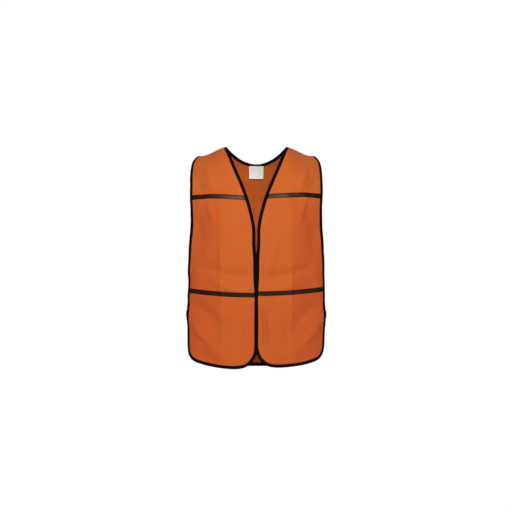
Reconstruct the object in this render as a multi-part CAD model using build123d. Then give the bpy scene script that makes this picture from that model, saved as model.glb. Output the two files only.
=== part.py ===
"""High-visibility mesh vest, open at the sides, in the shape it takes when it is worn.

Two front panels and a back panel of orange mesh cloth meet in a seam on top of each shoulder.
A folded tape binds every edge, flat tapes cross the panels at the chest and the waist, and an
elastic strap joins front to back on each side. The fronts lap at the centre, left over right,
and a strip of hook tape and a strip of loop tape close them.

Millimetres, +Z up, the wearer faces -Y and the wearer's left is +X. The origin lies on the
centre line, level with the shoulder seams beside the neck, where the wearer's shoulders carry it.
"""

from build123d import *
import math
import os

# Sizes of the garment as worn
HEM_Z = -602                # lowest point of the hem, below the shoulder seams
LEFT_RISE = 4               # the left front sits this much higher than the right
CHEST_Z = -230              # the chest is fullest here, and the cloth hangs straight below
FRONT_DEPTH = 125           # from the shoulder seams forward to the centre front at the chest
BACK_DEPTH = 108            # and back to the shoulder blades
HEM_DRAW_IN = 4             # the cloth hangs this much further in at the hem than at the chest
CHEST_REACH = 222           # half width at which the chest's section would close
WAIST_REACH = 216           # the same at the waist and below
WAIST_Z = -400
ROUNDNESS = 2.5             # exponent of the section's outline

# Shoulders and neck
NECK_HALF = 80              # from the centre line to the neck edge on the shoulder seam
NECK_BACK = 64              # how far the neck hole reaches back
SHOULDER_FLAT = 150         # the shoulder line stops falling in a curve here
SHOULDER_DROP = 24
ARM_FALL = 0.0166           # how fast the form rounds off past the shoulder's tip

# Cloth, tapes and thread
CLOTH = 0.8                 # thickness of the mesh
SLACK = 0.15                # between the mesh and what is sewn over it
BINDING_WALL = 0.5          # each layer of the folded tape
BINDING_WIDTH = 9
FOLD = 1.0                  # the fold at the edge
MESH_MARGIN = 1.4           # where the mesh ends, inside the fold
TAPE_WIDTH = 12.7
TAPE_THICK = 0.5
LAP_STEP = 2.6              # the left front stands this far outside the right one where they lap
PANEL_EDGE = 0.4            # where the mesh of each front ends, either side of the centre line
SEAM_GAP = 0.2              # between each panel and the shoulder seam's plane
TAPE_GAP = 0.2              # between a flat tape's end and the binding that it runs up to
INNER_GAP = 0.4             # between the binding and what is sewn on inside it

# Hook and loop closure
CLOSURE_TOP = -287
CLOSURE_LENGTH = 100
CLOSURE_THICK = 1.2
HOOK_SPAN = (-7, 19)        # from under the right front's edge to where it meets the loop tape
HOOK_TURN = (4.8, 7.4)      # the hook tape steps outwards between these, past that edge
HOOK_STEP = 1.1
LOOP_SPAN = (5, 20)

# Side elastics
ELASTIC_Z = -455
ELASTIC_WIDTH = 20
ELASTIC_THICK = 1.4
ELASTIC_BULGE = 190.5       # half width over both elastics
ELASTIC_SEWN = 14           # length sewn under the panel's edge
ELASTIC_EDGE = 187.5        # the panels' edge there
ELASTIC_TURN = 10           # radius where it leaves the panel's edge
BARTACK = (2.4, 0.5, 16)    # width, thickness and height of the stitches that hold it

# Inside the shoulders and the neck
SEAM_WIDTH = 12
SEAM_SPAN = (92, 146)       # from the neck binding to the armhole binding
SEAM_THICK = 0.8
LABEL_HALF = 20
LABEL_TOP = -49
LABEL_DROP = 34
LABEL_THICK = 0.3

# How finely the form is made
FORM_HALF = 200             # half width of the lofts, which the edges then trim
SECTION_STEP = 20
ARC_STEPS = 6
HANG_LEVELS = (-300, -400, -500, -625)
INSET_STEPS = 64            # points along an edge that is moved inwards
EDGE_SPANS = 16
BLOCK = 700                 # size of a cutting block, larger than the vest
DEPTH_ROOM = 40             # cutters reach this far past the deepest point

# The front's edge, as (x, z) from above the neck seam, down the neck and the centre,
# round the hem and up the side to above the shoulder's tip.
NECK_EDGE = [(88, 17), (NECK_HALF, 0), (59, -49), (37, -100), (21.5, -142), (8.6, -190), (2.4, -230)]
CENTRE_EDGE = [(2.2, -264), (0.2, -296), (-1.4, -360), (-3.4, -398), (-3.6, -460), (-3.6, -522)]
HEM_CORNER = [(-0.6, -562), (14, -587), (32, -598.5), (52, HEM_Z)]
HEM_EDGE = [(92, -600.5), (124, -596), (152, -588)]
SIDE_EDGE = [
    (169, -580), (180, -566), (184.5, -545), (186, -505), (187.5, -455), (184.8, -390),
    (184.5, -330), (183, -268), (179.5, -218), (179, -165), (180, -110), (178.5, -62),
    (171, -36), (158, -22.5), (146, -9), (134, 8),
]
BACK_HEM = [(124, -596), (92, -600), (50, -601.5)]

# Tape lines, as (x, z) on the right-hand side of a sheet that is mirrored for the other side
CHEST_LINE = [(10, -143), (34, -140.5), (78, -137.5), (112, -136), (144, -136.5), (190, -141)]
WAIST_LINE = [(-10, -402), (20, -402), (90, -399.5), (130, -396.5), (165, -392.5), (195, -388)]
BACK_CHEST_LINE = [(0, -137), (60, -136.5), (120, -136), (190, -139)]
BACK_WAIST_LINE = [(0, -400), (70, -399.5), (130, -396), (195, -389)]


def smooth(t):
    """0 below 0, 1 above 1, and an even slope between."""
    t = min(1.0, max(0.0, t))
    return t * t * (3 - 2 * t)


def shoulder_height(x):
    """Height of the top of the form over the shoulders, at x."""
    x = abs(x)
    fall = SHOULDER_DROP * smooth((x - NECK_HALF) / (SHOULDER_FLAT - NECK_HALF))
    return -fall - ARM_FALL * max(0.0, x - SHOULDER_FLAT) ** 2


def depth(x, z, full):
    """How far the form stands out from the shoulder seams' plane at (x, z), below the chest."""
    reach = CHEST_REACH + (WAIST_REACH - CHEST_REACH) * smooth((z - CHEST_Z) / (WAIST_Z - CHEST_Z))
    hang = full - HEM_DRAW_IN * (z - CHEST_Z) / (HEM_Z - CHEST_Z)
    return hang * math.sqrt(1 - (abs(x) / reach) ** ROUNDNESS)


def tilt(x, z, full):
    """Cosine of the angle by which the form's surface turns sideways at (x, z)."""
    z = min(z, CHEST_Z)
    slope = depth(x + 0.5, z, full) - depth(x - 0.5, z, full)
    return 1 / math.hypot(1, slope)


def surface_point(x, z, way, step, offset):
    """A point of the form's front (way -1) or back (way 1), stepped out and then offset outwards."""
    full = FRONT_DEPTH if way < 0 else BACK_DEPTH
    out = depth(x, min(z, CHEST_Z), full) + step
    if z <= CHEST_Z:
        return Vector(x, way * (out + offset), z)
    rise = shoulder_height(x) - CHEST_Z
    cosine = min(1.0, (z - CHEST_Z) / rise)
    sine = math.sqrt(1 - cosine**2)
    ny, nz = sine / out, cosine / rise
    size = math.hypot(ny, nz)
    return Vector(x, way * (out * sine + offset * ny / size), z + offset * nz / size)


def full_height(x):
    """Levels of a section's points from the shoulder seam to below the hem."""
    rise = shoulder_height(x) - CHEST_Z
    turns = [math.pi / 2 * k / ARC_STEPS for k in range(ARC_STEPS + 1)]
    return [CHEST_Z + rise * math.cos(turn) for turn in turns] + list(HANG_LEVELS)


def lap(x):
    """How far the left front is held off the form, to lie over the right one at the centre."""
    return LAP_STEP * (1 - smooth((x - 8) / 52))


def no_lap(x):
    return 0.0


def sheet(xs, way, inner, outer, lap_of=no_lap, levels=full_height):
    """A sheet over the form, between two offsets, lofted through sections across it.
    inner and outer are offsets or functions of x, and levels gives the heights of a section's points."""
    sections = []
    for x in xs:
        low = inner(x) if callable(inner) else inner
        high = outer(x) if callable(outer) else outer
        near = [surface_point(x, z, way, lap_of(x), low) for z in levels(x)]
        far = [surface_point(x, z, way, lap_of(x), high) for z in levels(x)]
        edges = [
            Edge.make_spline(far),
            Edge.make_line(far[-1], near[-1]),
            Edge.make_spline(near[::-1]),
            Edge.make_line(near[0], far[0]),
        ]
        sections.append(Wire(edges))
    return Solid.make_loft(sections)


def level_run(top, drop):
    """Levels of a section's points for a piece that hangs from top to top - drop."""
    return lambda x: [top - drop * k / 3 for k in range(4)]


def steps(low, high, step=SECTION_STEP):
    """Section places from low to high, about step apart."""
    count = max(2, math.ceil((high - low) / step))
    return [low + (high - low) * k / count for k in range(count + 1)]


def curve(points):
    """A smooth curve through (x, z) points, in the plane y = 0."""
    return Edge.make_spline([Vector(x, 0, z) for x, z in points])


def inset(points, width, full):
    """The edge through points, moved inwards over the cloth by width. The inside is on the left."""
    edge = curve(points)
    moved = []
    for k in range(INSET_STEPS + 1):
        place, along = edge.position_at(k / INSET_STEPS), edge.tangent_at(k / INSET_STEPS)
        nx, nz = -along.Z, along.X
        turn = tilt(place.X, place.Z, full)
        size = math.hypot(nx * turn, nz)
        moved.append((place.X + width * nx * turn**2 / size, place.Z + width * nz / size))
    return moved


def region(points, reach):
    """Everything on the inner side of an open edge line whose ends lie above the shoulders,
    swept to y = reach. The line is cut into spans, so that no face runs all the way round."""
    edge = curve(points)
    spans = [edge.trim(k / EDGE_SPANS, (k + 1) / EDGE_SPANS) for k in range(EDGE_SPANS)]
    closing = Edge.make_line(spans[-1].position_at(1), spans[0].position_at(0))
    return Solid.extrude(Face(Wire(spans + [closing])), Vector(0, reach, 0))


def strip(line, rise, reach):
    """The stretch of height that a tape covers along a line of (x, z) points, swept to y = reach."""
    top = curve([(x, z + rise + TAPE_WIDTH / 2) for x, z in line])
    bottom = curve([(x, z + rise - TAPE_WIDTH / 2) for x, z in line[::-1]])
    ends = [Edge.make_line(a.position_at(1), b.position_at(0)) for a, b in ((top, bottom), (bottom, top))]
    return Solid.extrude(Face(Wire([top, ends[0], bottom, ends[1]])), Vector(0, reach, 0))


def mirrored(shape):
    return mirror(shape, Plane.YZ)


def solids_of(shape):
    """The shape's solids as one object to export, slivers left out."""
    found = [s for s in shape.solids() if s.volume > 1]
    return found[0] if len(found) == 1 else Compound(found)


def raised(points, rise):
    """A front's edge with everything below the chest lifted by rise."""
    return [(x, z + rise * smooth((z + 60) / (CHEST_Z + 60))) for x, z in points]


def front_parts(lap_of, rise):
    """Panel, binding and two tapes of a front, all on the wearer's left: x is positive."""
    reach = -FRONT_DEPTH - DEPTH_ROOM
    edge = raised(NECK_EDGE + CENTRE_EDGE + HEM_CORNER + HEM_EDGE + SIDE_EDGE, rise)
    xs = steps(-12, FORM_HALF)
    mesh = sheet(xs, -1, 0, CLOTH, lap_of)
    hollow = sheet(xs, -1, -SLACK, CLOTH + SLACK, lap_of)
    thick = sheet(xs, -1, -SLACK - BINDING_WALL, CLOTH + SLACK + BINDING_WALL, lap_of)
    seam_side = Pos(0, -SEAM_GAP - BLOCK / 2, 0) * Box(BLOCK, BLOCK, 2 * BLOCK)
    mesh_side = Pos(PANEL_EDGE + BLOCK / 2, 0, 0) * Box(BLOCK, BLOCK, 2 * BLOCK)

    in_fold = region(inset(edge, FOLD, FRONT_DEPTH), reach)
    panel = mesh & region(inset(edge, MESH_MARGIN, FRONT_DEPTH), reach) & seam_side & mesh_side
    binding = thick & region(inset(edge, 0, FRONT_DEPTH), reach) & seam_side
    binding = binding - region(inset(edge, BINDING_WIDTH, FRONT_DEPTH), reach)
    binding = binding - (hollow & in_fold)

    on_top = CLOTH + SLACK
    within = region(inset(edge, BINDING_WIDTH + TAPE_GAP, FRONT_DEPTH), reach)
    tape = sheet(xs, -1, on_top, on_top + TAPE_THICK, lap_of) & within
    return panel, binding, tape & strip(CHEST_LINE, rise, reach), tape & strip(WAIST_LINE, rise, reach)


def both_sides(points):
    """A line from the centre outwards, joined to its mirror image: it runs from -x to +x."""
    return [(-x, z) for x, z in points[:0:-1]] + points


def neck_cutter(width):
    """The neck hole seen from above, made wider by width as measured along the cloth."""
    sine = NECK_BACK / BACK_DEPTH
    fall = -CHEST_Z / BACK_DEPTH * sine / math.sqrt(1 - sine**2)
    seen = width / math.hypot(1, fall)
    return extrude(Ellipse(NECK_HALF + width, NECK_BACK + seen), BLOCK / 2, both=True)


def back_parts():
    """Panel, outer binding, neck binding and two tapes of the back."""
    reach = BACK_DEPTH + DEPTH_ROOM
    edge = both_sides([(0, HEM_Z)] + BACK_HEM[::-1] + [HEM_EDGE[-1]] + SIDE_EDGE)
    xs = steps(-FORM_HALF, FORM_HALF)
    mesh = sheet(xs, 1, 0, CLOTH)
    hollow = sheet(xs, 1, -SLACK, CLOTH + SLACK)
    thick = sheet(xs, 1, -SLACK - BINDING_WALL, CLOTH + SLACK + BINDING_WALL)
    seam_side = Pos(0, SEAM_GAP + BLOCK / 2, 0) * Box(BLOCK, BLOCK, 2 * BLOCK)

    in_fold = region(inset(edge, FOLD, BACK_DEPTH), reach)
    panel = mesh & region(inset(edge, MESH_MARGIN, BACK_DEPTH), reach) & seam_side
    panel = panel - neck_cutter(MESH_MARGIN)
    outer = thick & region(inset(edge, 0, BACK_DEPTH), reach) & seam_side
    outer = outer - region(inset(edge, BINDING_WIDTH, BACK_DEPTH), reach) - (hollow & in_fold)
    collar = (thick & neck_cutter(BINDING_WIDTH) & seam_side) - neck_cutter(0)
    collar = collar - (hollow - neck_cutter(FOLD))

    on_top = CLOTH + SLACK
    within = region(inset(edge, BINDING_WIDTH + TAPE_GAP, BACK_DEPTH), reach)
    tape = sheet(xs, 1, on_top, on_top + TAPE_THICK) & within
    tapes = [tape & strip(both_sides(line), 0, reach) for line in (BACK_CHEST_LINE, BACK_WAIST_LINE)]
    return panel, outer, collar, *tapes


def closure():
    """Hook tape under the right front's edge and loop tape under the left front's edge."""
    under = -SLACK - BINDING_WALL - INNER_GAP
    levels = level_run(CLOSURE_TOP, CLOSURE_LENGTH)
    turn_start, turn_end = HOOK_TURN

    def hook_face(x):
        return under + HOOK_STEP * smooth((x - turn_start) / (turn_end - turn_start))

    def hook_back(x):
        return hook_face(x) - CLOSURE_THICK

    hook = sheet(steps(*HOOK_SPAN, turn_end - turn_start), -1, hook_back, hook_face, no_lap, levels)
    loop = sheet(steps(*LOOP_SPAN, 5), -1, under - CLOSURE_THICK, under, lap, levels)
    return hook, loop


def elastic_end(way, full):
    """Where the elastic's middle line starts under the panel's edge, its direction out of it,
    and the corner where it turns along the wearer's side."""
    under = SLACK + BINDING_WALL + INNER_GAP + ELASTIC_THICK / 2
    points = []
    for x in (ELASTIC_EDGE - ELASTIC_SEWN * tilt(ELASTIC_EDGE, ELASTIC_Z, full), ELASTIC_EDGE):
        turn = tilt(x, ELASTIC_Z, full)
        x_in, y_in = under * math.sqrt(1 - turn**2), under * turn
        points.append(Vector(x - x_in, way * (depth(x, ELASTIC_Z, full) - y_in)))
    start, at_edge = points
    along = (at_edge - start).normalized()
    corner = start + along * ((ELASTIC_BULGE - ELASTIC_THICK / 2 - start.X) / along.X)
    return start, along, corner


def side_elastic():
    """Elastic strap on the wearer's left, sewn inside the edges of the front and the back,
    and the bar tacks that hold it: (strap, front tack, back tack)."""
    ends = [elastic_end(-1, FRONT_DEPTH), elastic_end(1, BACK_DEPTH)]
    (front, _, front_corner), (back, _, back_corner) = ends
    path = FilletPolyline(front, front_corner, back_corner, back, radius=ELASTIC_TURN)
    strap = extrude(trace(path, line_width=ELASTIC_THICK), ELASTIC_WIDTH)
    tacks = []
    width, thickness, height = BARTACK
    for (start, along, _), way in zip(ends, (-1, 1)):
        inwards = Vector(along.Y, -along.X) * way
        place = start + along * (ELASTIC_SEWN / 2) + inwards * ((ELASTIC_THICK + thickness) / 2 + 0.15)
        bar = Rot(0, 0, math.degrees(math.atan2(along.Y, along.X))) * Box(width, thickness, height)
        tacks.append(Pos(place.X, place.Y, ELASTIC_Z) * bar)
    return Pos(0, 0, ELASTIC_Z - ELASTIC_WIDTH / 2) * strap, *tacks


def shoulder_seam():
    """The seam allowance under the shoulder seam on the wearer's left, turned to the back."""
    under = -SLACK - BINDING_WALL - INNER_GAP
    allowance = sheet(steps(*SEAM_SPAN), 1, under - SEAM_THICK, under)
    half = SEAM_WIDTH / 2
    return allowance & (Pos(0, SEAM_GAP + half, 0) * Box(BLOCK, SEAM_WIDTH, BLOCK))


def care_label():
    """A plain sewn label inside the back of the neck."""
    under = -SLACK - BINDING_WALL - INNER_GAP
    xs = steps(-LABEL_HALF, LABEL_HALF, 10)
    return sheet(xs, 1, under - LABEL_THICK, under, no_lap, level_run(LABEL_TOP, LABEL_DROP))


def save(name, shape):
    export_step(solids_of(shape), f"parts/{name}.step")


def main():
    os.makedirs("parts", exist_ok=True)
    left = front_parts(lap, LEFT_RISE)
    right = front_parts(no_lap, 0)
    for name, left_part, right_part in zip(("panel", "binding", "chest_tape", "waist_tape"), left, right):
        save(f"left_front_{name}", left_part)
        save(f"right_front_{name}", mirrored(right_part))
    back_names = ("panel", "outer_binding", "neck_binding", "chest_tape", "waist_tape")
    for name, part in zip(back_names, back_parts()):
        save(f"back_{name}", part)

    hook, loop = closure()
    save("right_front_hook_tape", hook)
    save("left_front_loop_tape", loop)

    strap, front_tack, back_tack = side_elastic()
    for side, turn in (("left", lambda s: s), ("right", mirrored)):
        save(f"{side}_side_elastic", turn(strap))
        save(f"{side}_elastic_front_bartack", turn(front_tack))
        save(f"{side}_elastic_back_bartack", turn(back_tack))
        save(f"{side}_shoulder_seam", turn(shoulder_seam()))
    save("care_label", care_label())


main()
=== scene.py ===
import bpy
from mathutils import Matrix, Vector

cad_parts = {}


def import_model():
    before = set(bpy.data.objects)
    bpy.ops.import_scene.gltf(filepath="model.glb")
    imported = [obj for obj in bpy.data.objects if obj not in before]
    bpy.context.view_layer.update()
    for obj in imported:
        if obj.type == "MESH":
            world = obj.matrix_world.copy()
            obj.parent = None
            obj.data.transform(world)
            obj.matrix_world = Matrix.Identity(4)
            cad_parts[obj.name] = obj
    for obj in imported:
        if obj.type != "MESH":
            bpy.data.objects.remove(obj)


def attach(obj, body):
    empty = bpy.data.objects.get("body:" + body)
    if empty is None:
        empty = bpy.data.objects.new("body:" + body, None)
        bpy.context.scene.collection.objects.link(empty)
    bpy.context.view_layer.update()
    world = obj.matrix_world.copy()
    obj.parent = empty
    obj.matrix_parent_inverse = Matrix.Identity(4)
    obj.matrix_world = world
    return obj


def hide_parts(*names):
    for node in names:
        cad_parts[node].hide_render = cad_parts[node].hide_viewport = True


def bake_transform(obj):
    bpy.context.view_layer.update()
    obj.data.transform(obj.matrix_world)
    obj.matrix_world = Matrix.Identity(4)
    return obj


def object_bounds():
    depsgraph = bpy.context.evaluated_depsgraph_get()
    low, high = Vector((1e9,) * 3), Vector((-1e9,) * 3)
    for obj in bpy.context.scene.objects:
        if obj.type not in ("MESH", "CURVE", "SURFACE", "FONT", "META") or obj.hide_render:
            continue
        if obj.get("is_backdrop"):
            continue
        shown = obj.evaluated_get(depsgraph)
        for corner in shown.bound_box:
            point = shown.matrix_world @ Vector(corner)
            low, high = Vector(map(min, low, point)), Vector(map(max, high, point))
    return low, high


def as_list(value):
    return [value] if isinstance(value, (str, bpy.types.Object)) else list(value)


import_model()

import copy
import math
import numpy as np
from mathutils import Vector

cad_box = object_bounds()

# ---- Sizes, in metres, as the CAD has them -------------------------------------------------

HEM_Z = -0.602
LEFT_RISE = 0.004
RISE_TOP = -0.060
CHEST_Z = -0.230
FRONT_DEPTH = 0.125
BACK_DEPTH = 0.108
HEM_DRAW_IN = 0.004
CHEST_REACH = 0.222
WAIST_REACH = 0.216
WAIST_Z = -0.400
ROUNDNESS = 2.5
NECK_HALF = 0.080
NECK_BACK = 0.064
SHOULDER_FLAT = 0.150
SHOULDER_DROP = 0.024
ARM_FALL = 16.6
CLOTH = 0.0008
SLACK = 0.00015
BINDING_WALL = 0.0005
BINDING_WIDTH = 0.009
PANEL_INSET = 0.0014
TAPE_WIDTH = 0.0127
TAPE_THICK = 0.0005
LAP_STEP = 0.0026
CLOSURE_TOP = -0.287
CLOSURE_LENGTH = 0.100
CLOSURE_THICK = 0.0012
ELASTIC_Z = -0.455
ELASTIC_WIDTH = 0.020
ELASTIC_THICK = 0.0014
ELASTIC_BULGE = 0.1905
ELASTIC_SEWN = 0.014
ELASTIC_EDGE = 0.1875
ELASTIC_TURN = 0.010
TACK_HALF = 0.0076
INNER_GAP = 0.0004
HOOK_SPAN = (-0.007, 0.019)
HOOK_TURN = (0.0048, 0.0074)
HOOK_STEP = 0.0011
LOOP_SPAN = (0.005, 0.020)
SEAM_SPAN = (0.092, 0.146)
SEAM_WIDTH = 0.012
LABEL_HALF = 0.020
LABEL_TOP = -0.049
LABEL_DROP = 0.034
LABEL_THICK = 0.0003

# Edges as (x, z) in millimetres, on the wearer's left
NECK_EDGE = [(88, 17), (80, 0), (59, -49), (37, -100), (21.5, -142), (8.6, -190), (2.4, -230)]
CENTRE_EDGE = [(2.2, -264), (0.2, -296), (-1.4, -360), (-3.4, -398), (-3.6, -460), (-3.6, -522)]
HEM_CORNER = [(-0.6, -562), (14, -587), (32, -598.5), (52, -602)]
HEM_EDGE = [(92, -600.5), (124, -596), (152, -588)]
SIDE_EDGE = [
    (169, -580), (180, -566), (184.5, -545), (186, -505), (187.5, -455), (184.8, -390),
    (184.5, -330), (183, -268), (179.5, -218), (179, -165), (180, -110), (178.5, -62),
    (171, -36), (158, -22.5), (146, -9), (134, 8),
]
BACK_HEM = [(124, -596), (92, -600), (50, -601.5)]
CHEST_LINE = [(10, -143), (34, -140.5), (78, -137.5), (112, -136), (144, -136.5), (190, -141)]
WAIST_LINE = [(-10, -402), (20, -402), (90, -399.5), (130, -396.5), (165, -392.5), (195, -388)]
BACK_CHEST_LINE = [(0, -137), (60, -136.5), (120, -136), (190, -139)]
BACK_WAIST_LINE = [(0, -400), (70, -399.5), (130, -396), (195, -389)]

# ---- Thread, sampling and drape ------------------------------------------------------------

SEAM_ARC = 0.286            # way from the shoulder seam down to the chest line, over the cloth
STITCH_PITCH = 0.0032
STITCH_LENGTH = 0.0024
THREAD = 0.00022            # radius of the sewing thread
STITCH_IN = 0.0017          # a seam's distance from the edge of what it sews
STRIP_SEAM = 0.0012         # the same for hook and loop tape
EDGE_STEP = 0.0025          # distance between cross sections of a binding
NUDGE = 0.0008              # step for slopes of the cloth
TURN = 6.283
RIPPLES = 14                # small ripples on each sheet
RIPPLE_HEIGHT = 0.00022
WAVE_HEIGHT = 0.0026        # the hem's wave, which grows below WAVE_TOP
WAVE_LENGTH = 0.104
WAVE_TOP = -0.43
SEAM_SCALE = 0.69           # cloth for each unit of s beside the shoulder seam
UNDER = -SLACK - BINDING_WALL - INNER_GAP   # face of what is sewn on inside, from the cloth's own

# Folds of each panel: (points down the fold as (x, z) in millimetres on the wearer's left, width,
# height). A negative height is a hollow.
BOTH_FRONTS = [
    ([(134, -50), (127, -88), (115, -122)], 10, 4.8),
    ([(162, -74), (156, -102), (145, -130)], 11, -4.0),
    ([(98, -40), (84, -80), (62, -118)], 15, -1.6),
    ([(130, -146), (124, -172), (113, -210)], 10, 6.4),
    ([(162, -186), (156, -240), (158, -300)], 20, -6.6),
    ([(93, -206), (94, -380), (93, -556)], 6, 2.4),
    ([(60, -238), (42, -300), (28, -352)], 12, 3.8),
    ([(12, -352), (76, -346), (160, -320)], 13, -5.0),
    ([(14, -394), (60, -387), (112, -368)], 12, 6.6),
    ([(178, -424), (134, -452), (100, -500)], 19, -6.0),
    ([(180, -464), (150, -508), (100, -562)], 11, 4.6),
    ([(150, -560), (124, -580), (100, -600)], 13, -2.6),
    ([(182, -420), (164, -372), (160, -312)], 13, 3.0),
    ([(44, -150), (28, -198), (14, -250)], 9, 2.2),
]
LEFT_FOLDS = BOTH_FRONTS + [
    ([(16, -446), (24, -500), (20, -556)], 7, -8.5),
    ([(36, -430), (40, -510), (44, -592)], 10, 3.4),
    ([(66, -420), (64, -500), (66, -600)], 14, 2.0),
    ([(66, -300), (72, -330), (70, -366)], 14, 1.4),
]
RIGHT_FOLDS = BOTH_FRONTS + [
    ([(26, -440), (26, -510), (30, -580)], 10, -3.2),
    ([(56, -430), (60, -510), (58, -600)], 15, 2.4),
    ([(112, -290), (116, -320), (110, -352)], 13, -1.7),
    ([(80, -240), (66, -280), (64, -320)], 12, 1.4),
]
BACK_FOLDS = [
    ([(176, -452), (134, -470), (104, -540)], 13, 3.6),
    ([(178, -448), (136, -430), (92, -424)], 13, 2.2),
    ([(180, -466), (160, -520), (150, -586)], 12, 3.0),
    ([(140, -460), (122, -520), (116, -600)], 13, -2.6),
    ([(84, -120), (80, -260), (74, -400)], 22, 2.6),
    ([(60, -430), (56, -520), (54, -602)], 20, 3.0),
    ([(134, -60), (120, -110), (96, -160)], 14, 2.6),
    ([(156, -80), (154, -120), (150, -160)], 13, -2.4),
    ([(120, -180), (60, -206), (0, -212)], 15, -1.8),
    ([(26, -440), (26, -520), (24, -600)], 15, -2.4),
    ([(60, -62), (40, -86), (0, -98)], 11, -1.6),
    ([(176, -436), (158, -370), (152, -300)], 14, 2.2),
]


# ---- The cloth's surface -------------------------------------------------------------------


def smooth(t):
    t = np.clip(t, 0.0, 1.0)
    return t * t * (3 - 2 * t)


def shoulder_height(x):
    x = np.abs(x)
    fall = SHOULDER_DROP * smooth((x - NECK_HALF) / (SHOULDER_FLAT - NECK_HALF))
    return -fall - ARM_FALL * np.maximum(0.0, x - SHOULDER_FLAT) ** 2


def depth(x, z, full):
    reach = CHEST_REACH + (WAIST_REACH - CHEST_REACH) * smooth((z - CHEST_Z) / (WAIST_Z - CHEST_Z))
    hang = full - HEM_DRAW_IN * (z - CHEST_Z) / (HEM_Z - CHEST_Z)
    return hang * np.sqrt(1 - (np.abs(x) / reach) ** ROUNDNESS)


def level(x, s):
    """Height of the cloth at x, a way s down from the shoulder seam."""
    rise = shoulder_height(x) - CHEST_Z
    over = CHEST_Z + rise * np.cos(np.pi / 2 * np.minimum(s / SEAM_ARC, 1.0))
    return np.where(s < SEAM_ARC, over, CHEST_Z - (s - SEAM_ARC))


def way_down(x, z):
    """The way s at which the cloth has height z."""
    cosine = np.clip((z - CHEST_Z) / (shoulder_height(x) - CHEST_Z), 0.0, 1.0)
    return np.where(z > CHEST_Z, SEAM_ARC * np.arccos(cosine) * 2 / np.pi, SEAM_ARC + CHEST_Z - z)


def unit(v):
    return v / np.linalg.norm(v, axis=-1, keepdims=True)


def fold_curve(points):
    """A fold's line as samples in metres, and how strong the fold is along it."""
    (x0, z0), (x1, z1), (x2, z2) = points
    t = np.linspace(0, 1, 9)
    bend_x, bend_z = 2 * x1 - (x0 + x2) / 2, 2 * z1 - (z0 + z2) / 2
    x = (1 - t) ** 2 * x0 + 2 * t * (1 - t) * bend_x + t**2 * x2
    z = (1 - t) ** 2 * z0 + 2 * t * (1 - t) * bend_z + t**2 * z2
    return x * 0.001, z * 0.001, np.sin(np.pi * (0.06 + 0.88 * t)) ** 0.7


def fold_shape(line, x, z, width):
    """A fold's height from 0 to 1: it rounds off with the distance from its line."""
    shape = np.zeros_like(x)
    for x0, z0, strong0, x1, z1, strong1 in zip(*line, *(part[1:] for part in line)):
        along_x, along_z = x1 - x0, z1 - z0
        t = np.clip(((x - x0) * along_x + (z - z0) * along_z) / (along_x**2 + along_z**2), 0.0, 1.0)
        gap = (x - x0 - t * along_x) ** 2 + (z - z0 - t * along_z) ** 2
        shape = np.maximum(shape, (strong0 + t * (strong1 - strong0)) * np.exp(-gap / width**2))
    return shape


class Sheet:
    """One cut piece of cloth: which way it faces, its folds and its ripples.
    side is 1 for the wearer's left, -1 for the right and 0 for a piece with both halves."""

    def __init__(self, name, way, side, folds, lap, seed):
        self.name, self.way, self.side, self.hand, self.lap = name, way, side, side or 1, lap
        self.full = FRONT_DEPTH if way < 0 else BACK_DEPTH
        self.folds = [(fold_curve(points), width * 0.001, height * 0.001) for points, width, height in folds]
        chance = np.random.default_rng(seed)
        self.ripples = []
        for _ in range(RIPPLES):
            length = chance.uniform(0.045, 0.15)
            turn = chance.uniform(0, np.pi)
            self.ripples.append((math.cos(turn) / length, math.sin(turn) / length, chance.uniform(0, 6.28)))

    def form(self, x, s):
        """Places on the smooth form."""
        z = level(x, s)
        out = depth(x, np.minimum(z, CHEST_Z), self.full)
        if self.lap:
            out = out + LAP_STEP * (1 - smooth((x * self.side - 0.008) / 0.052))
        y = self.way * out * np.sin(np.pi / 2 * np.minimum(s / SEAM_ARC, 1.0))
        return np.stack([x, y, z], axis=-1)

    def relief(self, x, s):
        """How far the cloth stands out from the form."""
        z = level(x, s)
        across = x * self.side if self.side else np.abs(x)
        total = np.zeros_like(x)
        for line, width, height in self.folds:
            total += height * fold_shape(line, across, z, width)
        for fx, fz, phase in self.ripples:
            total += RIPPLE_HEIGHT * np.sin(TURN * (x * fx + z * fz) + phase)
        hang = smooth((WAVE_TOP - z) / 0.17)
        total += WAVE_HEIGHT * hang * np.sin(TURN * x / WAVE_LENGTH + self.way * 0.9)
        free = smooth(s / 0.05)
        if self.way < 0:
            free = free * smooth((np.abs(x) + 0.006) / 0.03)
        return total * free

    def displaced(self, x, s):
        """Places on the cloth's inner face, with its folds."""
        e = NUDGE
        along = self.form(x + e, s) - self.form(x - e, s)
        down = self.form(x, s + e) - self.form(x, s - e)
        return self.form(x, s) + self.facing(along, down) * self.relief(x, s)[..., None]

    def facing(self, along, down):
        """The outward direction from slopes across and down the cloth."""
        return unit(np.cross(along, down)) * self.way

    def slopes(self, x, s):
        e = NUDGE
        along = (self.displaced(x + e, s) - self.displaced(x - e, s)) / (2 * e)
        down = (self.displaced(x, s + e) - self.displaced(x, s - e)) / (2 * e)
        return along, down

    def place(self, x, s, offset=0.0):
        """Places on the cloth, offset outwards."""
        along, down = self.slopes(x, s)
        offset = np.broadcast_to(offset, np.shape(x))
        return self.displaced(x, s) + self.facing(along, down) * offset[..., None]


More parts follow.
